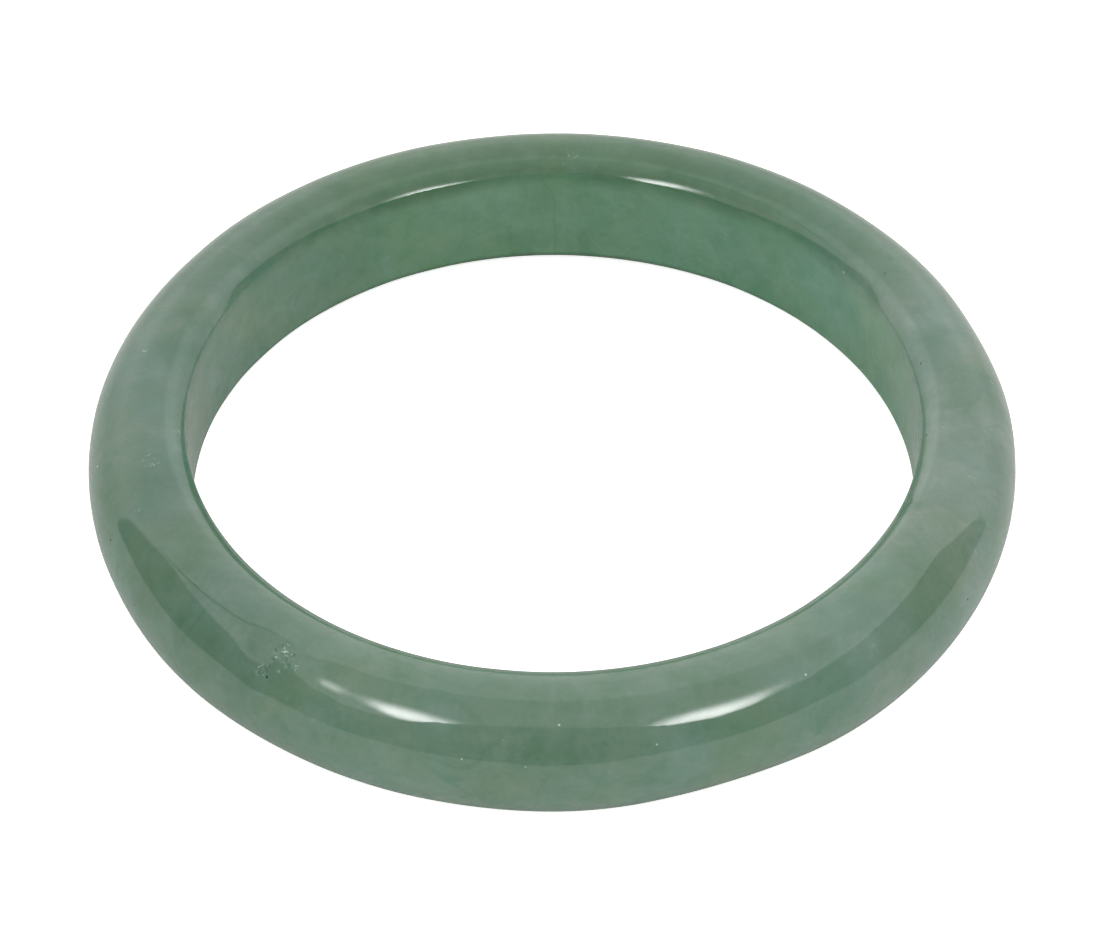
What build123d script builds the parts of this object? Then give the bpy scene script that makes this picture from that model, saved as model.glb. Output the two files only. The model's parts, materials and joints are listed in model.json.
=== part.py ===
"""Solid stone bangle bracelet.

One closed ring, cored out of a slab of stone, ground to a D section and polished.
It has no clasp and no hinge: the hand goes through the bore. Millimetres.
The origin is the centre of the bore at mid-height, and +Z runs along the bore.
"""

import os
from math import cos, radians, sin

from build123d import *

# Driving dimensions
inner_diameter = 57.5  # the bangle's trade size, measured across the straight wall of the bore
section_height = 11.3  # along the bore, from one crown to the other
crown_radius = 3.5  # the tighter round over the top and the bottom
edge_radius = 0.5  # the eased edge between a crown and the bore

# Directions of the surface normal where one round of the section meets the next,
# in degrees: 0 points away from the bore's axis, 90 along it and 180 towards it
belly_end = 68.0
crown_end = 141.0
bore_wall = 180.0

# Worked out from the driving dimensions
inner_radius = inner_diameter / 2
belly_radius = (section_height / 2 - crown_radius * (1 - sin(radians(belly_end)))) / sin(radians(belly_end))


def across(radius, start, end):
    """How far an arc of the section runs towards the bore, between two normal directions."""
    return radius * (cos(radians(start)) - cos(radians(end)))


wall_thickness = (
    across(belly_radius, 0, belly_end)
    + across(crown_radius, belly_end, crown_end)
    + across(edge_radius, crown_end, bore_wall)
)
outer_radius = inner_radius + wall_thickness


def towards(direction, length):
    """A step in the section's plane, along a normal direction."""
    return Vector(cos(radians(direction)), sin(radians(direction))) * length


# Each round is tangent to the one before, so its centre lies on their shared normal
belly_centre = Vector(outer_radius - belly_radius, 0)
crown_centre = belly_centre + towards(belly_end, belly_radius - crown_radius)
edge_centre = crown_centre + towards(crown_end, crown_radius - edge_radius)

# The ring: the section above the middle is drawn, mirrored below and turned about Z
with BuildPart() as stone_ring:
    with BuildSketch(Plane.XZ):
        with BuildLine():
            belly = CenterArc(belly_centre, belly_radius, 0, belly_end)
            crown = CenterArc(crown_centre, crown_radius, belly_end, crown_end - belly_end)
            edge = CenterArc(edge_centre, edge_radius, crown_end, bore_wall - crown_end)
            straight_wall = Line(edge @ 1, (inner_radius, 0))
            mirror(about=Plane.XZ)
        make_face()
    revolve(axis=Axis.Z)

stone_ring.part.label = "stone_ring"

os.makedirs("parts", exist_ok=True)
export_step(stone_ring.part, "parts/stone_ring.step")

print(f"outer diameter {2 * outer_radius:.2f}, wall {wall_thickness:.2f}, belly radius {belly_radius:.2f}")
print(f"straight wall of the bore {2 * edge_centre.Y:.2f} long, volume {stone_ring.part.volume:.1f} mm3")
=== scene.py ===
# %% [markdown]
# # A bangle of translucent green stone
#
# The real bangle is one closed ring. It is cored out of a slab of stone, ground to a D section on a
# wheel, and polished. Three things make it look real: the rounds of its section, the slight unevenness
# that hand grinding leaves, and the way light soaks into the stone. The plan follows that order: first
# the frame, the camera and the light, then the section, the ring, its unevenness and the stone.
#
# The CAD model fixes the place and the size. It is loaded before anything else, and its box is kept,
# so that the finished piece can be compared with it at the end.

# %% Load the CAD frame
import json
import random
from math import cos, degrees, exp, pi, radians, sin

import bmesh
import bpy
from mathutils import Matrix, Vector
from mathutils.kdtree import KDTree


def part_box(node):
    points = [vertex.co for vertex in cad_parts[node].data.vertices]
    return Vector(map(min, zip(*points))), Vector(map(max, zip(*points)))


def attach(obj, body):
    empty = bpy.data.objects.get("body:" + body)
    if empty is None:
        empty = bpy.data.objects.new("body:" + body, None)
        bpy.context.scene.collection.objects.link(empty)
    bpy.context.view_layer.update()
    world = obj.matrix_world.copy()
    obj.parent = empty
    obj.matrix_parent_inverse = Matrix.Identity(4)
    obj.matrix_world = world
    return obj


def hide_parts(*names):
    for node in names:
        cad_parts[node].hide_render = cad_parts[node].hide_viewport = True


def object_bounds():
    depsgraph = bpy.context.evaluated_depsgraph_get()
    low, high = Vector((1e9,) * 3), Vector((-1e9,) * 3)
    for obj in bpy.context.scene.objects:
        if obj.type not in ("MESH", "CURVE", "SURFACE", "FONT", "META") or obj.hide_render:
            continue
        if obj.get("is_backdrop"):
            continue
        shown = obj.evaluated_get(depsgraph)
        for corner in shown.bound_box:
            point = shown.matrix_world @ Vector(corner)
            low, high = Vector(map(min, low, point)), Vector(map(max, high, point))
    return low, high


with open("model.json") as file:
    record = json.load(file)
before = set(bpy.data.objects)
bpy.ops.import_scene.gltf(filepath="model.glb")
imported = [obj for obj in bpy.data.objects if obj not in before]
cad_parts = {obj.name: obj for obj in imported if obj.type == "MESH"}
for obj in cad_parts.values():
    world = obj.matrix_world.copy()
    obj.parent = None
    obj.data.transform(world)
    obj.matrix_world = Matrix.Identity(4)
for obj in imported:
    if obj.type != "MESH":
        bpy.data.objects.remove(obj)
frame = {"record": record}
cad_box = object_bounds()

mm = 0.001
low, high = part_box("stone_ring")
outer_radius = (high.x - low.x) / 2
half_height = (high.z - low.z) / 2
bore = next(m for m in frame["record"]["mounts"] if m["name"] == "bore")
bore_radius = bore["dims"]["r_mm"] * mm
print(f"outer radius {outer_radius / mm:.2f} mm, bore radius {bore_radius / mm:.2f} mm")

# %% [markdown]
# ## Camera
#
# A ring in a catalogue is seen from above and from far away through a long lens, so that its far side
# doesn't shrink. The camera is placed by a distance and a height angle, both from the middle of the
# ring, and is aimed a little below it. A camera points along its own -Z with +Y up, which is what
# `to_track_quat` is told, and the small roll is added last, about the line of sight.

# %% Camera
camera_distance = 7.787 * outer_radius
camera_height_angle = radians(42.78)
camera_roll = radians(0.30)
aim_point = Vector((-0.0046, 0, -0.083)) * outer_radius
lens_length_mm = 117.6
sensor_width_mm = 36
nearest_seen = 0.01

camera_data = bpy.data.cameras.new("catalogue_camera")
camera_data.lens = lens_length_mm
camera_data.sensor_width = sensor_width_mm
camera_data.clip_start = nearest_seen
camera = bpy.data.objects.new("catalogue_camera", camera_data)
bpy.context.scene.collection.objects.link(camera)
camera.location = Vector((0, -cos(camera_height_angle), sin(camera_height_angle))) * camera_distance
line_of_sight = (aim_point - camera.location).to_track_quat("-Z", "Y").to_matrix()
camera.rotation_euler = (line_of_sight @ Matrix.Rotation(-camera_roll, 3, "Z")).to_euler()
bpy.context.scene.camera = camera
print(f"camera {camera_distance / mm:.0f} mm from the ring, {degrees(camera_height_angle):.1f} degrees up")

# %% [markdown]
# ## Helpers
#
# Every operator in Blender acts on what is selected, and the loaded CAD nodes start out selected. So
# each step first selects one object and nothing else. The other helpers keep the material cells short:
# one makes a shader node and sets its properties and sockets in one go, one turns a value into another
# range, and one mixes two colours.

# %% Helpers
def select_only(piece):
    """Makes one object the selected and the active one."""
    bpy.ops.object.select_all(action="DESELECT")
    piece.select_set(True)
    bpy.context.view_layer.objects.active = piece


def add_node(tree, kind, sockets=None, **settings):
    """Adds a node to a tree, sets its properties and its sockets, and returns it."""
    node = tree.nodes.new("ShaderNode" + kind)
    for name, value in settings.items():
        setattr(node, name, value)
    for name, value in (sockets or {}).items():
        if isinstance(value, bpy.types.NodeSocket):
            tree.links.new(value, node.inputs[name])
        else:
            node.inputs[name].default_value = value
    return node


def in_range(tree, value, start, end, low=0.0, high=1.0, shape="LINEAR"):
    """Turns a value between start and end into one between low and high, and stops there."""
    limits = {"Value": value, "From Min": start, "From Max": end, "To Min": low, "To Max": high}
    return add_node(tree, "MapRange", limits, interpolation_type=shape).outputs["Result"]


def mix_colours(tree, share, under, over, blend="MIX"):
    """Mixes two colours. A Mix node keeps its colours on sockets 6 and 7, and the result on output 2."""
    sockets = {0: share, 6: under, 7: over}
    return add_node(tree, "Mix", sockets, data_type="RGBA", blend_type=blend).outputs[2]

# %% [markdown]
# ## Floor
#
# The ring lies on its lower crown on a plain white table. A plane is enough: it is wide, so that no
# edge of it shows from any side, and matt, so that it mirrors nothing.

# %% Floor
table_width = 6
bpy.ops.object.select_all(action="DESELECT")
bpy.ops.mesh.primitive_plane_add(size=table_width, location=(0, 0, low.z))
floor = bpy.context.object
floor.name = "white_table"
floor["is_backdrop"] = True
print(f"table {table_width} m wide, {-low.z / mm:.2f} mm below the middle of the ring")

# %% [markdown]
# The table is seen in two ways: straight on, and mirrored in the polished stone. Straight on it is lit
# so strongly that it is white all over and hardly holds a shadow, so it gets some glow of its own that
# only the camera sees. Mirrored it is darker, and inside the ring it carries a painted shade, where the
# stone stands round it. One colour for both would make either the table grey or the rim of the stone too
# pale. A Light Path node knows which kind of ray is asking.

# %% Tones of the table
table_seen = (0.95, 0.95, 0.94, 1)
table_mirrored = (0.72, 0.72, 0.70, 1)
# painted shade of the ring on the table, seen only in the stone's reflections
table_reflection_painted_shade = (0.38, 0.39, 0.38, 1)
middle_start = 0.66 * outer_radius
middle_end = 0.35 * outer_radius
table_own_glow = 0.80

table_white = bpy.data.materials.new("matt_white_table")
table_white.use_nodes = True
table_tree = table_white.node_tree
table_shader = table_tree.nodes["Principled BSDF"]
table_shader.inputs["Roughness"].default_value = 1
table_shader.inputs["Specular IOR Level"].default_value = 0
table_shader.inputs["Emission Color"].default_value = (1, 1, 1, 1)
table_place = add_node(table_tree, "TexCoord").outputs["Object"]
from_middle = add_node(table_tree, "VectorMath", {0: table_place}, operation="LENGTH").outputs["Value"]
in_middle = in_range(table_tree, from_middle, middle_start, middle_end)
mirrored_tone = mix_colours(table_tree, in_middle, table_mirrored, table_reflection_painted_shade)
ray = add_node(table_tree, "LightPath")
table_tone = mix_colours(table_tree, ray.outputs["Is Glossy Ray"], table_seen, mirrored_tone)
table_tree.links.new(table_tone, table_shader.inputs["Base Color"])
table_glow = add_node(table_tree, "Math", {0: ray.outputs["Is Camera Ray"], 1: table_own_glow},
                      operation="MULTIPLY")
table_tree.links.new(table_glow.outputs["Value"], table_shader.inputs["Emission Strength"])
floor.data.materials.append(table_white)
print(f"table tone of {len(table_tree.nodes)} nodes")

# %% [markdown]
# ## Light
#
# A polished stone is two things at once. It is a soft body that glows with whatever light soaks into
# it, and it is a mirror that shows the studio. The real studio is a small white tent, open in front,
# and each part of it can be found again on the belly of the ring. Two ways were possible: one set of
# lamps for everything, or a dome for the glow and a tent that only reflections see. The second was
# chosen, because the glow of this stone is nearly the same from all sides, and because the tent can
# then be fitted to the reflections alone.
#
# The dome is the world's own colour. The tent is made of plain cards that give off light of their own,
# and their ray visibility leaves only glossy rays on.

# %% The dome
dome_light = 1.08
world = bpy.data.worlds.new("white_dome")
world.use_nodes = True
world.node_tree.nodes["Background"].inputs["Color"].default_value = (1, 1, 1, 1)
world.node_tree.nodes["Background"].inputs["Strength"].default_value = dome_light
bpy.context.scene.world = world
print(f"dome of strength {dome_light}")

# %% A card of the tent
def tent_card(name, size, place, turn, glow):
    """A rectangle that only reflections see. Its glow is a number, or a function that makes a pattern."""
    bpy.ops.object.select_all(action="DESELECT")
    bpy.ops.mesh.primitive_plane_add(size=1, location=place, rotation=turn)
    card = bpy.context.object
    card.name = name
    card.scale = (*size, 1)
    bpy.ops.object.transform_apply(location=True, rotation=True, scale=True)
    card.visible_camera = False
    card.visible_diffuse = False
    card.visible_shadow = False
    cloth = bpy.data.materials.new(name)
    cloth.use_nodes = True
    tree = cloth.node_tree
    tree.nodes.clear()
    light = add_node(tree, "Emission", {"Strength": glow(tree) if callable(glow) else glow})
    add_node(tree, "OutputMaterial", {"Surface": light.outputs["Emission"]})
    card.data.materials.append(cloth)
    card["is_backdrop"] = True
    return card

# %% [markdown]
# The back of the tent and the rear half of its sides are plain white cloth that sweeps down into the
# table, a little darker where it turns. The roof is the same cloth. Two cards may not lie in one plane,
# because a ray can't tell which of them it meets first, so the roof is hung a hair above the cards that
# cover part of it.

# %% The tent's size, and its white cloth
tent_height = 0.355
tent_half_width = 0.49
tent_front = -0.56
tent_back = 0.60
dark_side_end = 0.195
card_gap = 0.001
white_light = 1.26
white_light_low = 0.86
sweep_height = 0.22
upright_facing_front = (pi / 2, 0, 0)
upright_facing_side = (0, pi / 2, 0)
lying = (0, 0, 0)
tent_sides = ((-1, "left"), (1, "right"))


def cloth_glow(tree):
    """White cloth that is a little darker where it sweeps into the table."""
    card_place = add_node(tree, "TexCoord").outputs["Object"]
    up = add_node(tree, "SeparateXYZ", {"Vector": card_place}).outputs["Z"]
    return in_range(tree, up, 0.0, sweep_height, white_light_low, white_light, "SMOOTHSTEP")


tent_middle_z = (tent_height + low.z) / 2
side_height = tent_height - low.z
tent_card("white_back", (2 * tent_half_width, side_height), (0, tent_back, tent_middle_z),
          upright_facing_front, cloth_glow)
tent_card("white_roof", (2 * tent_half_width, tent_back - tent_front),
          (0, (tent_back + tent_front) / 2, tent_height + 2 * card_gap), lying, white_light)
for side, word in tent_sides:
    tent_card(f"white_{word}", (side_height, tent_back - dark_side_end),
              (side * tent_half_width, (tent_back + dark_side_end) / 2, tent_middle_z),
              upright_facing_side, cloth_glow)
print(f"tent {2 * tent_half_width:.2f} m wide and {tent_height:.2f} m high")

# %% [markdown]
# The front of the tent is open to a darker room. It is what makes the long dark band on the belly, and
# the dark front half of each side draws the band's two pointed ends. A low sill near the ring sets the
# band's lower edge. Black cards would make the band too hard, so they glow faintly, more so under the
# roof.

# %% The dark opening in front, and the dark front half of each side
dark_light_low = 0.15
dark_light_high = 0.38
sill_front = -0.302
sill_height = 0.16
dark_roof_back = -0.25


def dusk_glow(tree):
    """Nearly black at the table, and a little lighter under the roof."""
    card_place = add_node(tree, "TexCoord").outputs["Object"]
    up = add_node(tree, "SeparateXYZ", {"Vector": card_place}).outputs["Z"]
    return in_range(tree, up, 0.0, tent_height, dark_light_low, dark_light_high)


tent_card("dark_sill", (2 * tent_half_width, sill_height), (0, sill_front, low.z + sill_height / 2),
          upright_facing_front, dusk_glow)
tent_card("dark_front", (2 * tent_half_width, side_height), (0, tent_front, tent_middle_z),
          upright_facing_front, dusk_glow)
tent_card("dark_roof", (2 * tent_half_width, dark_roof_back - tent_front),
          (0, (dark_roof_back + tent_front) / 2, tent_height + card_gap), lying, dusk_glow)
for side, word in tent_sides:
    tent_card(f"dark_{word}", (side_height, dark_side_end - tent_front),
              (side * tent_half_width, (dark_side_end + tent_front) / 2, tent_middle_z),
              upright_facing_side, dusk_glow)
print(f"dark opening starts {-sill_front / outer_radius:.1f} ring radii in front of the middle")

# %% [markdown]
# Under the roof hangs a grey diffuser. It gives the middle of the belly its greyer stripe, its dark hem
# draws the thin line above that stripe at the left, and the two lamps that shine through it make the two
# soft highlights. The lamps could be lamp objects, but a lamp has no cloth in front of it: its highlight
# would be a hard dot. A hot spot that fades out in the cloth's own glow has the soft look.

# %% The diffuser's light, its hem and its two lamps
diffuser_light = 0.84
diffuser_light_side = 1.20
side_start = 0.17
side_end = 0.36
hem_start = 0.966
hem_end = hem_start + 0.004
hem_light = 0.25
hem_fades_from = 0.62
hem_fades_to = 0.30
lamp_squeeze = (1.25, 1, 1)
# of each lamp: place across, place along, light, spread
lamp_spots = [(-0.232, -0.322, 13.5, 0.158), (0.298, -0.385, 13.0, 0.205)]


def diffuser_glow(tree):
    """Light through cloth, a dark hem that fades towards the right, and a hot spot under each lamp."""
    coordinates = add_node(tree, "TexCoord")
    along = add_node(tree, "SeparateXYZ", {"Vector": coordinates.outputs["UV"]})
    hem = in_range(tree, along.outputs["Y"], hem_start, hem_end)
    left = in_range(tree, along.outputs["X"], hem_fades_from, hem_fades_to)
    dark = add_node(tree, "Math", {0: hem, 1: left}, operation="MULTIPLY").outputs["Value"]
    from_centre = add_node(tree, "Math", {0: along.outputs["X"], 1: 0.5}, operation="SUBTRACT")
    aside = add_node(tree, "Math", {0: from_centre.outputs["Value"]}, operation="ABSOLUTE")
    cloth = in_range(tree, aside.outputs["Value"], side_start, side_end, diffuser_light, diffuser_light_side)
    total = in_range(tree, dark, 0.0, 1.0, cloth, hem_light)
    squeezed = add_node(tree, "VectorMath", {0: coordinates.outputs["Object"], 1: lamp_squeeze},
                        operation="MULTIPLY").outputs["Vector"]
    for lamp_x, lamp_y, lamp_light, lamp_spread in lamp_spots:
        lamp_place = (lamp_x * lamp_squeeze[0], lamp_y, tent_height)
        away = add_node(tree, "VectorMath", {0: squeezed, 1: lamp_place}, operation="DISTANCE")
        near_lamp = in_range(tree, away.outputs["Value"], lamp_spread, 0.0, shape="SMOOTHERSTEP")
        total = add_node(tree, "Math", {0: near_lamp, 1: lamp_light, 2: total},
                         operation="MULTIPLY_ADD").outputs["Value"]
    return total


# %% [markdown]
# Real cloth isn't hung in a straight line. Its back edge bows towards the ring in the middle, and its
# front edge hangs further forward in two swags, which make the highlights fuller below. The card is
# divided into strips, and each corner is then moved along the tent.

# %% Hang the diffuser
diffuser_front = -0.295
diffuser_back_middle = -0.017
diffuser_back_side = 0.22
diffuser_cuts = 47
# of each swag: middle, width to its left, width to its right, depth
swags = [(-0.30, 0.40, 0.13, 0.13), (0.35, 0.21, 0.075, 0.20)]

diffuser = tent_card("grey_diffuser", (2 * tent_half_width, diffuser_back_side - diffuser_front),
                     (0, (diffuser_back_side + diffuser_front) / 2, tent_height), lying, diffuser_glow)
select_only(diffuser)
bpy.ops.object.mode_set(mode="EDIT")
bpy.ops.mesh.select_all(action="SELECT")
bpy.ops.mesh.subdivide(number_cuts=diffuser_cuts)
bpy.ops.object.mode_set(mode="OBJECT")


def swag_depth(across):
    """How far the front edge hangs forward at a place across the tent."""
    depth_here = 0
    for middle, left_width, right_width, depth in swags:
        width = left_width if across < middle else right_width
        depth_here += depth * exp(-((across - middle) / width) ** 2)
    return depth_here


for corner in diffuser.data.vertices:
    share = (corner.co.y - diffuser_front) / (diffuser_back_side - diffuser_front)
    bow = (corner.co.x / tent_half_width) ** 2
    back_here = diffuser_back_middle + (diffuser_back_side - diffuser_back_middle) * bow
    front_here = diffuser_front - swag_depth(corner.co.x)
    corner.co.y = front_here + share * (back_here - front_here)
furthest = -min(corner.co.y for corner in diffuser.data.vertices)
print(f"the diffuser reaches {furthest:.2f} m to the front")

# %% [markdown]
# Blender's usual view curve dulls bright whites and soft greens. The Standard one shows each tone as it
# was set, which keeps the table white and the stone its own green.

# %% Plain tones
bpy.context.scene.view_settings.view_transform = "Standard"
print("view transform", bpy.context.scene.view_settings.view_transform)

# %% [markdown]
# ## Section of the ring
#
# The section is a D: a straight wall on the bore's side and a round belly outside, with a tighter
# round over each crown and a softly eased edge where the wall begins. It could be traced point by
# point, but on a real wheel each round is one sweep, so here each is one `spin` of the last point
# about its own centre, as with a pair of compasses. Each centre lies on the normal that two rounds
# share, and that is what makes them run into each other without a crease.

# %% Radii of the rounds
crown_radius = 3.5 * mm
edge_radius = 0.5 * mm
belly_end = radians(68)
crown_end = radians(141)
wall_side = radians(180)
belly_radius = (half_height - crown_radius * (1 - sin(belly_end))) / sin(belly_end)


def towards(angle, length):
    """A step in the section's plane: 0 points away from the bore's axis, a quarter turn is up."""
    return Vector((cos(angle), 0, sin(angle))) * length


belly_centre = Vector((outer_radius, 0, 0)) - towards(0, belly_radius)
crown_centre = belly_centre + towards(belly_end, belly_radius - crown_radius)
edge_centre = crown_centre + towards(crown_end, crown_radius - edge_radius)
print(f"belly radius {belly_radius / mm:.2f} mm, edge centre {edge_centre.z / mm:.2f} mm above the middle")

# %% Draw half of the section
bpy.ops.object.select_all(action="DESELECT")
bpy.ops.mesh.primitive_plane_add(size=mm, location=(0, 0, 0))
ring = bpy.context.object
ring.name = "stone_bangle"
bpy.ops.object.mode_set(mode="EDIT")
bpy.ops.mesh.merge(type="CENTER")
bpy.ops.transform.translate(value=(outer_radius, 0, 0))
compass_axis = (0, 1, 0)
belly_steps = 26
crown_steps = 18
edge_steps = 7
for centre, turn, steps in [
    (belly_centre, belly_end, belly_steps),
    (crown_centre, crown_end - belly_end, crown_steps),
    (edge_centre, wall_side - crown_end, edge_steps),
]:
    bpy.ops.mesh.spin(steps=steps, angle=turn, center=centre, axis=compass_axis)
wall_steps = 12
wall_step = edge_centre.z / wall_steps
for _ in range(wall_steps):
    bpy.ops.mesh.extrude_region_move(TRANSFORM_OT_translate={"value": (0, 0, -wall_step)})
bpy.ops.object.mode_set(mode="OBJECT")
print(f"half section of {len(ring.data.vertices)} points, the last one",
      [round(c / mm, 2) for c in ring.data.vertices[-1].co])

# %% [markdown]
# ## The ring
#
# Turning the section about the bore's axis is what the grinding machine does, and `spin` does the
# same through a full circle. The first and the last copy then lie on each other, so doubles are
# merged. A Mirror modifier adds the lower half. A spun shape may come out with its faces pointing
# inwards, so the normals are worked out again once the shell is closed.

# %% A report on the shell
def report_shell(piece):
    """Prints how many faces and triangles a piece has, whether it is closed, and its volume."""
    shell = bmesh.new()
    shell.from_mesh(piece.data)
    triangles = sum(len(face.verts) - 2 for face in shell.faces)
    open_edges = sum(not edge.is_manifold for edge in shell.edges)
    print(f"{piece.name}: {len(shell.faces)} faces, {triangles} triangles, {open_edges} open edges,",
          f"volume {shell.calc_volume() / mm**3:.0f} mm3")
    shell.free()


# %% Turn the section and mirror it
steps_round = 660
weld_distance = 0.002 * mm
select_only(ring)
bpy.ops.object.mode_set(mode="EDIT")
bpy.ops.mesh.select_all(action="SELECT")
bpy.ops.mesh.spin(steps=steps_round, angle=2 * pi, center=(0, 0, 0), axis=(0, 0, 1))
bpy.ops.mesh.select_all(action="SELECT")
bpy.ops.mesh.remove_doubles(threshold=weld_distance)
bpy.ops.object.mode_set(mode="OBJECT")
mirror = ring.modifiers.new("lower_half", "MIRROR")
mirror.use_axis = (False, False, True)
mirror.use_mirror_merge = True
mirror.merge_threshold = weld_distance
bpy.ops.object.modifier_apply(modifier=mirror.name)
bpy.ops.object.mode_set(mode="EDIT")
bpy.ops.mesh.select_all(action="SELECT")
bpy.ops.mesh.normals_make_consistent(inside=False)
bpy.ops.object.mode_set(mode="OBJECT")
bpy.ops.object.shade_smooth()
report_shell(ring)

# %% [markdown]
# ## Marks of the hand
#
# A bangle is held to the grinding wheel by hand, so it is never quite true: it has a flat here, a swell
# there, and slow waves all over. The waves are a few hundredths of a millimetre high and too shallow to
# be seen as shape, but every reflection on the belly bends with them, and the flat shows in the outline.
# A bump in the material would bend the reflections and leave the outline alone. So the marks are pushed
# into the mesh with proportional editing, which moves one point and lets its neighbours follow, less and
# less with distance.
#
# A place on the ring is named by two angles. `azimuth` goes round the bore from +X. `lean` goes round
# the section from straight outwards, so 90 is the top of the crown and 180 is the bore's wall.

# %% A place on the ring
def on_ring(azimuth, lean, height=None):
    """The surface point at an azimuth and a lean, both in degrees, or at a height on the bore's wall."""
    angle = radians(lean)
    if height is not None:
        point = Vector((bore_radius, 0, height * mm))
    elif angle <= belly_end:
        point = belly_centre + towards(angle, belly_radius)
    elif angle <= crown_end:
        point = crown_centre + towards(angle, crown_radius)
    else:
        point = edge_centre + towards(angle, edge_radius)
    return Matrix.Rotation(radians(azimuth), 3, "Z") @ point


print("top of the crown at +X, in mm", [round(c / mm, 2) for c in on_ring(0, 90)])

# %% [markdown]
# The core drill never meets the middle of the slab quite, so one side of a bangle is a little thicker
# than the other. The bore's wall is moved whole, the outside stays, and what lies between follows in
# proportion.

# %% The bore is a little off centre
bore_offset = 0.11 * mm
for point in ring.data.vertices:
    distance = point.co.xy.length
    share = min(1, (outer_radius - distance) / (outer_radius - bore_radius))
    point.co.x += bore_offset * share
print(f"bore {bore_offset / mm:.2f} mm off centre")

# %% [markdown]
# A pit of a few tenths of a millimetre is smaller than the faces of the ring. Finer faces everywhere
# would make the mesh heavy, so only the faces near the small marks are divided.

# %% Finer faces where the small marks go
def nearest_points(places):
    """The numbers of the mesh points nearest to some places."""
    tree = KDTree(len(ring.data.vertices))
    for point in ring.data.vertices:
        tree.insert(point.co, point.index)
    tree.balance()
    return [tree.find(place)[1] for place in places]


def refine(place, reach, cuts):
    """Divides the faces that lie within reach of a place."""
    select_only(ring)
    bpy.ops.object.mode_set(mode="EDIT")
    bpy.ops.mesh.select_mode(type="FACE")
    bpy.ops.mesh.select_all(action="DESELECT")
    bpy.ops.object.mode_set(mode="OBJECT")
    for face in ring.data.polygons:
        face.select = (face.center - place).length < reach
    bpy.ops.object.mode_set(mode="EDIT")
    bpy.ops.mesh.subdivide(number_cuts=cuts, smoothness=1.0)
    bpy.ops.object.mode_set(mode="OBJECT")


fracture_place = on_ring(-124.7, 58)
fleck_place = on_ring(-127.0, 40)
nick_place = on_ring(-22.8, 134)
fine_cuts = 3
# of each small mark: its place, and how far round it the faces are divided
for spot, reach in [(fracture_place, 1.5 * mm), (fleck_place, 0.7 * mm), (nick_place, 0.8 * mm)]:
    refine(spot, reach, fine_cuts)
print(f"{len(ring.data.polygons)} faces after refining")

# %% [markdown]
# The large marks come first: a flat at the front right, a swell at the front left, and a few shallow
# hollows and swells elsewhere. `shrink_fatten` moves each point along its own normal, outwards for a
# value above 0, so a depth goes in with a minus sign.

# %% Push the surface in or out
def push(places, depth, width):
    """Lowers the surface by a depth at some places, fading out over a width. Less than 0 raises it."""
    chosen = nearest_points(places)
    select_only(ring)
    bpy.ops.object.mode_set(mode="EDIT")
    bpy.ops.mesh.select_mode(type="VERT")
    bpy.ops.mesh.select_all(action="DESELECT")
    bpy.ops.object.mode_set(mode="OBJECT")
    for number in chosen:
        ring.data.vertices[number].select = True
    bpy.ops.object.mode_set(mode="EDIT")
    bpy.ops.transform.shrink_fatten(value=-depth * mm, use_proportional_edit=True,
                                    use_proportional_connected=True,
                                    proportional_edit_falloff="SMOOTH", proportional_size=width * mm)
    bpy.ops.object.mode_set(mode="OBJECT")


# of each mark: azimuth and lean in degrees, depth and width in mm
hand_marks = [
    (-68, -32, 0.30, 12), (17, 5, 0.14, 9), (-140, 5, -0.15, 12), (-100, 30, 0.05, 9),
    (-152, 60, 0.06, 8), (-40, 70, -0.05, 9), (-20, 95, 0.05, 7), (100, 100, 0.05, 9), (60, 20, -0.06, 12),
    (150, 40, 0.06, 10), (-127.6, 50, 0.15, 3.0), (-121.0, 60, -0.13, 3.4), (-116, 40, 0.06, 4.0),
    (-67, 14, -0.10, 5.0),
]
flat_azimuth, flat_lean = hand_marks[0][:2]
flat_point = ring.data.vertices[nearest_points([on_ring(flat_azimuth, flat_lean)])[0]].co.copy()
for azimuth, lean, depth, width in hand_marks:
    push([on_ring(azimuth, lean)], depth, width)
ground_point = ring.data.vertices[nearest_points([flat_point])[0]].co
print(f"the flat on the near side is {(flat_point - ground_point).length / mm:.2f} mm deep")

# %% [markdown]
# The wheel also leaves slow waves all over. They are far too many to push one by one, so a Displace
# modifier moves every point by a soft cloud pattern, and is then applied.

# %% Slow waves all over
waves = bpy.data.textures.new("wheel_waves", "CLOUDS")
waves.noise_scale = 6.5 * mm
waves.noise_depth = 1
ripple_height = 0.055 * mm
ripple = ring.modifiers.new("wheel_waves", "DISPLACE")
ripple.texture = waves
ripple.texture_coords = "LOCAL"
ripple.strength = ripple_height
ripple.mid_level = 0.5
select_only(ring)
bpy.ops.object.modifier_apply(modifier=ripple.name)
print(f"waves of {ripple_height / mm:.3f} mm")

# %% [markdown]
# At the front left a few fibres have broken out of the surface. The pits they left are pushed in with a
# very small width, at random places round the fractured spot. The random numbers start from a seed, so
# that the pits are the same in each run. The rim of the bore has one nick at the right, where the ring
# was knocked.

# %% Pits of the fractured spot, and the nick in the rim
random.seed(7)


def scatter(azimuth, lean, spread_round, spread_lean, count):
    """Random places round a spot of the ring, as close as the two spreads in degrees say."""
    return [on_ring(azimuth + random.gauss(0, spread_round), lean + random.gauss(0, spread_lean))
            for _ in range(count)]


# of each round of pits: depth and width in mm
for depth, width in [(0.035, 0.30), (0.030, 0.22), (0.045, 0.26)]:
    push(scatter(-124.7, 59, 1.1, 4.5, 9), depth, width)
push(scatter(-127.2, 40, 0.5, 2.5, 6), 0.035, 0.22)
push([nick_place], 0.09, 0.6)
push([on_ring(-23.4, 128)], 0.03, 0.5)
bpy.ops.object.shade_smooth()
report_shell(ring)

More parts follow.
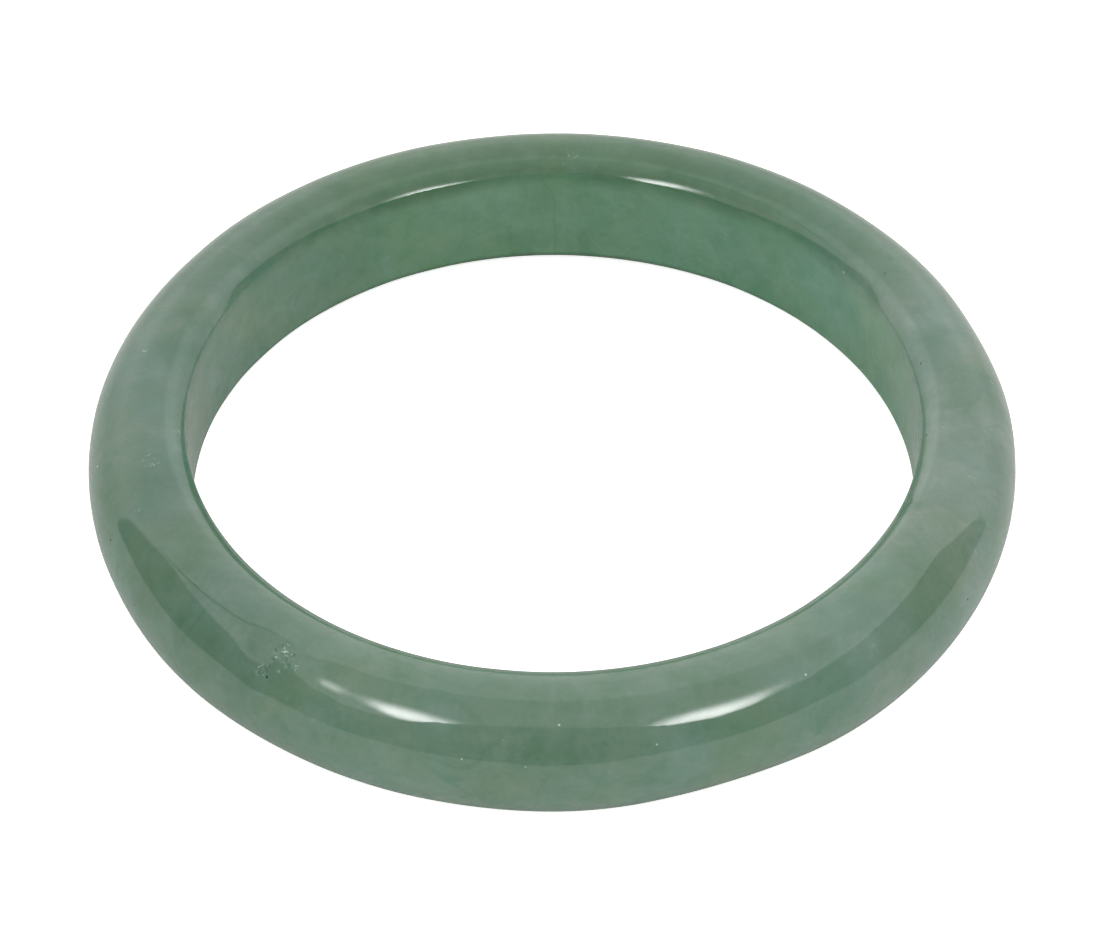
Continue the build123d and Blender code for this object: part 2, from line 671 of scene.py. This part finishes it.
# %% [markdown]
# ## The stone
#
# Jade is a felt of fine fibres. Light goes a few millimetres in, is scattered by the fibres and comes
# out again soft and green, and only the polished skin mirrors. The Principled shader has both: its
# subsurface part is the soft body, and its index of refraction, 1.6 for jade, is the skin. What is left
# to make is the colour, which is never even: there are slow zones of greener and of milkier stone,
# clouds of about a centimetre, thin dark veins, pale flecks where the fibres have parted, and a few
# black grains. One big network could mix all that at once. Here each is laid over the last one like a
# thin wash of paint, so that each can be looked at alone.

# %% Start the stone
jade_refraction = 1.58
light_reach = (0.5, 1.0, 0.7)
light_reach_scale = 3.0 * mm
jade = bpy.data.materials.new("polished_jade")
jade.use_nodes = True
jade_tree = jade.node_tree
stone = jade_tree.nodes["Principled BSDF"]
stone.inputs["IOR"].default_value = jade_refraction
stone.inputs["Subsurface Weight"].default_value = 1.0
stone.inputs["Subsurface Radius"].default_value = light_reach
stone.inputs["Subsurface Scale"].default_value = light_reach_scale
ring.data.materials.append(jade)
stone_place = add_node(jade_tree, "TexCoord").outputs["Object"]

# %% Small tools for the washes
def number(operation, *values):
    """A Math node's result."""
    return add_node(jade_tree, "Math", dict(enumerate(values)), operation=operation).outputs["Value"]


def product(first, *others):
    """Several shares multiplied with each other."""
    for other in others:
        first = number("MULTIPLY", first, other)
    return first


def ramp(value, start, end, low=0.0, high=1.0):
    """Turns a value between start and end softly into one between low and high."""
    return in_range(jade_tree, value, start, end, low, high, "SMOOTHSTEP")


def distance_to(spot, ruler=stone_place):
    """How far a point of the stone is from a spot."""
    return add_node(jade_tree, "VectorMath", {0: ruler, 1: spot}, operation="DISTANCE").outputs["Value"]


def blots(size, detail=2.0, warp=0.0, shift=0.0, stretch=(1, 1, 1)):
    """A random pattern of blots of about one size in mm. The shift, in m, picks another part of it."""
    moved = add_node(jade_tree, "Mapping", {"Vector": stone_place, "Location": (shift, shift, shift),
                                            "Scale": stretch})
    pattern = add_node(jade_tree, "TexNoise", {"Vector": moved.outputs["Vector"], "Scale": 1 / (size * mm),
                                               "Detail": detail, "Distortion": warp})
    return pattern.outputs["Fac"]


def wash(under, share, paint, blend="MIX"):
    """Lays a paint over a colour, as strongly as the share says."""
    return mix_colours(jade_tree, share, under, paint, blend)


def tone(red, green, blue):
    """A colour with full cover."""
    return (red, green, blue, 1)


# %% [markdown]
# The slab ran through greener and milkier stone, so the ring is greener at the back and milkier at the
# right. The borders of such zones aren't straight, so a slow random drift is added to the place before
# the ramp reads it.

# %% Slow zones: greener behind, milkier at the right
leaf = tone(0.130, 0.219, 0.152)
forest = tone(0.074, 0.160, 0.086)
milk_right = tone(0.146, 0.222, 0.168)
milk_left = tone(0.096, 0.174, 0.122)
drift_reach = 8 * mm
side_cover = 0.85

axes = add_node(jade_tree, "SeparateXYZ", {"Vector": stone_place})
drift = number("MULTIPLY_ADD", blots(11, 2.0, 0.3), 2 * drift_reach, -drift_reach)
along_x = number("ADD", axes.outputs["X"], drift)
along_y = number("ADD", axes.outputs["Y"], drift)
body = wash(leaf, ramp(along_y, 8 * mm, 24 * mm), forest)
body = wash(body, ramp(along_x, 18 * mm, 33 * mm, high=side_cover), milk_right)
body = wash(body, ramp(along_x, -12 * mm, -30 * mm, high=side_cover), milk_left)
print(f"zones, {len(jade_tree.nodes)} nodes so far")

# %% [markdown]
# Inside the bore the stone looks more vivid, because the light that reaches the eye there has been
# through it several times. Paths that long would take very many samples, so the wall at the back is
# washed with a greener tone, a painted glow that stands in for that light. The eased upper edge is lit
# from two sides, and its glow is painted on as well.

# %% Painted glow on the wall of the bore and on its upper edge
# painted glow: tones for the bore's wall and its upper edge
wall_glow_green_painted = tone(0.136, 0.274, 0.168)
wall_glow_left_painted = tone(0.142, 0.240, 0.162)
edge_glow_painted = tone(1.24, 1.16, 1.21)
level_drift = 0.12

flat_place = add_node(jade_tree, "CombineXYZ", {"X": axes.outputs["X"], "Y": axes.outputs["Y"]})
from_axis = add_node(jade_tree, "VectorMath", {0: flat_place.outputs["Vector"]},
                     operation="LENGTH").outputs["Value"]
level = number("ADD", axes.outputs["Z"], number("MULTIPLY", drift, level_drift))
on_wall = ramp(from_axis, bore_radius + 0.40 * mm, bore_radius + 0.28 * mm)
below_edge = ramp(level, 4.6 * mm, 2.8 * mm)
above_edge = ramp(axes.outputs["Z"], -4.3 * mm, -3.8 * mm)
behind = ramp(axes.outputs["Y"], -14 * mm, -4 * mm)
# painted glow on the wall at the back, for light that has passed through the stone
wall_glow_painted = wash(wall_glow_left_painted, ramp(along_x, -28 * mm, -6 * mm), wall_glow_green_painted)
body = wash(body, product(on_wall, behind, below_edge, above_edge), wall_glow_painted)
# painted glow: the eased upper edge of the bore is made lighter than the stone's own colour
edge_inner = ramp(from_axis, bore_radius + 0.35 * mm, bore_radius + 0.95 * mm)
edge_outer = ramp(from_axis, bore_radius + 1.65 * mm, bore_radius + 1.20 * mm)
edge_upper = ramp(axes.outputs["Z"], 3.8 * mm, 4.6 * mm)
body = wash(body, product(edge_inner, edge_outer, edge_upper), edge_glow_painted, "MULTIPLY")
print(f"wall and edge, {len(jade_tree.nodes)} nodes so far")

# %% [markdown]
# The clouds are drifts of denser and of clearer fibre. One noise with much detail looks like smoke, so
# several are laid over each other, each with its own size, and each only lightens or darkens what is
# under it.

# %% Clouds, from a centimetre down to the grain
milky = tone(1.25, 1.13, 1.21)
deep = tone(0.76, 0.88, 0.80)
bluish = tone(0.93, 1.01, 1.06)
yellowish = tone(1.05, 1.02, 0.94)
# of each layer: blot size in mm, detail, warp, shift, start and end of the ramp, cover, paint
cloud_layers = [
    (8.5, 3.0, 0.8, 0.031, 0.50, 0.72, 0.55, milky),
    (7.0, 3.0, 0.9, 0.013, 0.50, 0.70, 0.50, deep),
    (10.0, 2.0, 0.5, 0.057, 0.46, 0.64, 0.90, bluish),
    (9.0, 2.0, 0.5, 0.071, 0.48, 0.66, 0.90, yellowish),
    (2.6, 4.0, 0.6, 0.023, 0.46, 0.66, 0.46, milky),
    (1.9, 4.0, 0.4, 0.043, 0.50, 0.68, 0.45, deep),
    (0.45, 3.0, 0.0, 0.017, 0.42, 0.68, 0.26, milky),
]
for size, detail, warp, shift, start, end, cover, paint in cloud_layers:
    body = wash(body, ramp(blots(size, detail, warp, shift), start, end, high=cover), paint, "MULTIPLY")
print(f"{len(cloud_layers)} layers of clouds")

# %% [markdown]
# Some patches of milky and of deep stone have a known place on the ring. A round spot would show as
# round, so the place is first shaken by a noise, and the spot's border turns ragged.

# %% A ragged ruler for the patches
ragged_size = 4 * mm
ragged_reach = 6 * mm
ragged = add_node(jade_tree, "TexNoise", {"Vector": stone_place, "Scale": 1 / ragged_size, "Detail": 3.0})
ragged_step = add_node(jade_tree, "VectorMath", {0: ragged.outputs["Color"], 1: (0.5, 0.5, 0.5)},
                       operation="SUBTRACT").outputs["Vector"]
ragged_reaches = (ragged_reach, ragged_reach, ragged_reach)
ragged_place = add_node(jade_tree, "VectorMath", {0: ragged_step, 1: ragged_reaches, 2: stone_place},
                        operation="MULTIPLY_ADD").outputs["Vector"]
patch_core = 0.25


def patch(under, spot, size, share, paint):
    """Washes a soft patch with a ragged edge over the stone. Its size is the radius in mm."""
    away = distance_to(spot, ragged_place)
    return wash(under, ramp(away, size * mm, patch_core * size * mm, high=share), paint, "MULTIPLY")


# %% Named patches
# of each patch on the crowns and the belly: azimuth, lean, radius in mm, share
milky_patches = [
    (-5.5, 116, 3.6, 0.7), (-16.5, 85, 4.6, 0.8), (15, 106, 2.6, 0.7), (-29, 6, 5.0, 0.6),
    (-49, 35, 3.2, 0.8), (-51.5, 75, 3.0, 0.5), (-77, 62, 3.2, 0.4), (88, 118, 1.6, 0.9),
    (166, 72, 3.2, 0.5), (178, 76, 3.0, 0.4), (-172.5, 101, 3.6, 0.6), (-137, 90, 3.0, 0.25),
    (-119, 105, 2.6, 0.3), (-107, 5, 4.0, 0.4), (-62, 81, 4.0, 0.5), (175, 108, 2.4, 0.5),
    (-93, 112, 3.0, 0.4),
]
deep_patches = [
    (0.5, 60, 4.0, 0.8), (9, 112, 2.6, 0.7), (28.8, 89, 3.0, 0.6), (-24, 122, 2.0, 0.8),
    (-37, 44, 4.0, 0.6), (-81.5, 78, 2.2, 0.4), (168.5, 100, 2.4, 0.7), (-149, 100, 3.2, 0.4),
    (-161.5, 92, 3.4, 0.8), (-164, 45, 4.2, 0.5), (-126, 38, 3.0, 0.4), (-136, 30, 4.0, 0.4),
    (133, 109, 4.0, 0.4), (-57.7, 2, 3.0, 0.4), (66, 100, 4.0, 0.3),
]
for patches, paint in [(milky_patches, milky), (deep_patches, deep)]:
    for azimuth, lean, size, share in patches:
        body = patch(body, on_ring(azimuth, lean), size, share, paint)
# of each patch on the bore's wall: azimuth, height in mm, radius in mm, share, paint
wall_patches = [
    (99, 2.0, 4.0, 0.6, milky), (95, -2.0, 3.0, 0.7, deep), (37, 0.5, 6.0, 0.9, bluish),
    (153, 3.0, 4.0, 0.9, milky), (125, -0.6, 3.0, 0.6, deep), (66, 1.0, 4.5, 0.4, milky),
]
wall_lean = 180
for azimuth, up, size, share, paint in wall_patches:
    body = patch(body, on_ring(azimuth, wall_lean, up), size, share, paint)
print(f"{len(milky_patches) + len(deep_patches) + len(wall_patches)} patches")

# %% [markdown]
# A vein is a healed crack. A line could be drawn for each, but a noise already has such lines in it,
# where it crosses its own middle value. They show only in some places, which a second, slower noise
# picks, because veins all over would look like marble.

# %% Thin veins
def vein(size, warp, shift, width):
    """A share that is 1 along the lines where a pattern crosses its own middle."""
    off_middle = number("ABSOLUTE", number("SUBTRACT", blots(size, 3.0, warp, shift), 0.5))
    return ramp(off_middle, width, 0.0)


vein_tone = tone(0.72, 0.86, 0.76)
dark_places = ramp(blots(12, 1.0, 0.0, 0.083), 0.47, 0.60, high=0.42)
body = wash(body, product(vein(9, 1.2, 0.019, 0.045), dark_places), vein_tone, "MULTIPLY")
pale_places = ramp(blots(14, 1.0, 0.0, 0.047), 0.48, 0.60, high=0.30)
body = wash(body, product(vein(6, 1.2, 0.067, 0.055), pale_places), milky, "MULTIPLY")
print(f"veins, {len(jade_tree.nodes)} nodes so far")

# %% [markdown]
# Where fibres have parted just under the skin, the stone shows pale flecks in small clusters. A cluster
# is a spot on the ring, and inside it two noises break the paint up: one into clumps, one into splinters.

# %% Pale flecks in clusters
solid_core = 0.4


def near(spot, size):
    """A share that is 1 close to a spot and fades out at a distance in mm."""
    return ramp(distance_to(spot), size * mm, solid_core * size * mm)


fleck_tone = tone(0.42, 0.55, 0.47)
fleck_cover = 0.85
# of each cluster: azimuth, lean, radius in mm, strength
fleck_spots = [
    (-124.7, 58, 1.7, 1.0), (-127.2, 41, 0.8, 1.0), (171, 68, 0.7, 0.7), (-173.2, 131, 0.5, 0.8),
    (-166.2, 92, 1.0, 0.8), (-159, 58, 0.6, 0.6), (4.2, 44, 0.4, 0.8), (-7.5, 112, 0.8, 0.6),
    (-16.5, 62, 0.6, 0.5), (-26, 32, 0.7, 0.7), (87, 113, 1.4, 0.7), (-102, 38, 0.7, 0.45),
    (-96.5, 42, 0.9, 0.35), (-48.5, 38, 1.0, 0.4),
]
flecked = 0.0
for azimuth, lean, size, strength in fleck_spots:
    flecked = number("MAXIMUM", flecked, number("MULTIPLY", near(on_ring(azimuth, lean), size), strength))
splinters = ramp(blots(0.34, 4.0, 1.5, 0.037), 0.55, 0.63)
clumps = ramp(blots(1.0, 3.0, 0.5, 0.049), 0.46, 0.60)
fleck_share = product(clumps, splinters, flecked)
body = wash(body, number("MULTIPLY", fleck_share, fleck_cover), fleck_tone)
print(f"{len(fleck_spots)} clusters of flecks")

# %% [markdown]
# Single grains, white and black, lie about in the stone. A Voronoi pattern has one point in each of its
# cells, and a small round spot at each point gives grains that never touch. A few that are larger have
# their own place.

# %% Single grains
def grains(size, reach, shift):
    """A share that is 1 inside small round grains, one in each cell of a size in mm."""
    moved = add_node(jade_tree, "Mapping", {"Vector": stone_place, "Location": (shift, shift, shift)})
    cells = add_node(jade_tree, "TexVoronoi", {"Vector": moved.outputs["Vector"], "Scale": 1 / (size * mm)})
    return ramp(cells.outputs["Distance"], reach, solid_core * reach)


white_grain_cover = 0.5
white_grain_size = 0.12
# of each white grain that has its own place: azimuth and lean
white_grains = [(-89.3, 52), (-100.5, 23), (-171.2, 32), (-58, 49), (-78, 32)]
body = wash(body, number("MULTIPLY", grains(4.6, 0.035, 0.02), white_grain_cover), fleck_tone)
for azimuth, lean in white_grains:
    body = wash(body, near(on_ring(azimuth, lean), white_grain_size), fleck_tone)

black_tone = tone(0.018, 0.045, 0.022)
black_grain_cover = 0.7
# of each black grain that has its own place: azimuth, lean, radius in mm
black_grains = [
    (-126.2, 38, 0.17), (-159, 24, 0.15), (-149.5, 10, 0.14), (-148, 9, 0.11), (-146, 6, 0.13),
    (-8, 132, 0.15), (-31, 14, 0.13), (8, 128, 0.14),
]
for azimuth, lean, size in black_grains:
    body = wash(body, near(on_ring(azimuth, lean), size), black_tone)
body = wash(body, number("MULTIPLY", grains(5.5, 0.028, 0.05), black_grain_cover), black_tone)
jade_tree.links.new(body, stone.inputs["Base Color"])
print(f"{len(white_grains)} white and {len(black_grains)} black grains have their own place")

# %% [markdown]
# The skin is polished to a mirror, but years on a wrist leave it hazy in places and finely scratched
# round the ring, and broken flecks don't take a polish. Roughness holds all three. A bump of a few
# thousandths of a millimetre adds the faint orange peel that a felt polisher leaves. It is far too
# shallow to be worth a face of its own.

# %% Polish
clear_skin = 0.045
hazy_skin = 0.085
scratch_roughness = 0.035
fleck_roughness = 0.35
haze = ramp(blots(7, 3.0, 0.5, 0.091), 0.40, 0.70, clear_skin, hazy_skin)
scratches = ramp(blots(0.5, 4.0, 0.0, 0.029, (1, 1, 5)), 0.45, 0.75, 0.0, scratch_roughness)
gloss = number("ADD", haze, scratches)
gloss = number("MULTIPLY_ADD", fleck_share, fleck_roughness, gloss)
jade_tree.links.new(gloss, stone.inputs["Roughness"])

fine_peel_share = 0.12
fleck_drop = -2.0
peel_height = 0.006 * mm
fine_peel = number("MULTIPLY", blots(0.35, 2.0, 0.0, 0.077), fine_peel_share)
peel = number("ADD", blots(1.3, 2.0, 0.0, 0.061), fine_peel)
peel = number("MULTIPLY_ADD", fleck_share, fleck_drop, peel)
relief = add_node(jade_tree, "Bump", {"Height": peel, "Strength": 1.0, "Distance": peel_height})
jade_tree.links.new(relief.outputs["Normal"], stone.inputs["Normal"])
print(f"stone of {len(jade_tree.nodes)} nodes")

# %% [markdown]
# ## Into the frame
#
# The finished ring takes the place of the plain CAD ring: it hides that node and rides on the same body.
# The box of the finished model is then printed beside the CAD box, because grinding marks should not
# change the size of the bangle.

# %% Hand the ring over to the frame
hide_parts("stone_ring")
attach(ring, "root")
print(f"{ring.name} takes the place of the CAD ring")

# %% Compare the box with the CAD box
visual_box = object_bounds()
for name, box in (("cad", cad_box), ("visual", visual_box)):
    print(name, "box in mm", [round((b - a) / mm, 2) for a, b in zip(*box)])
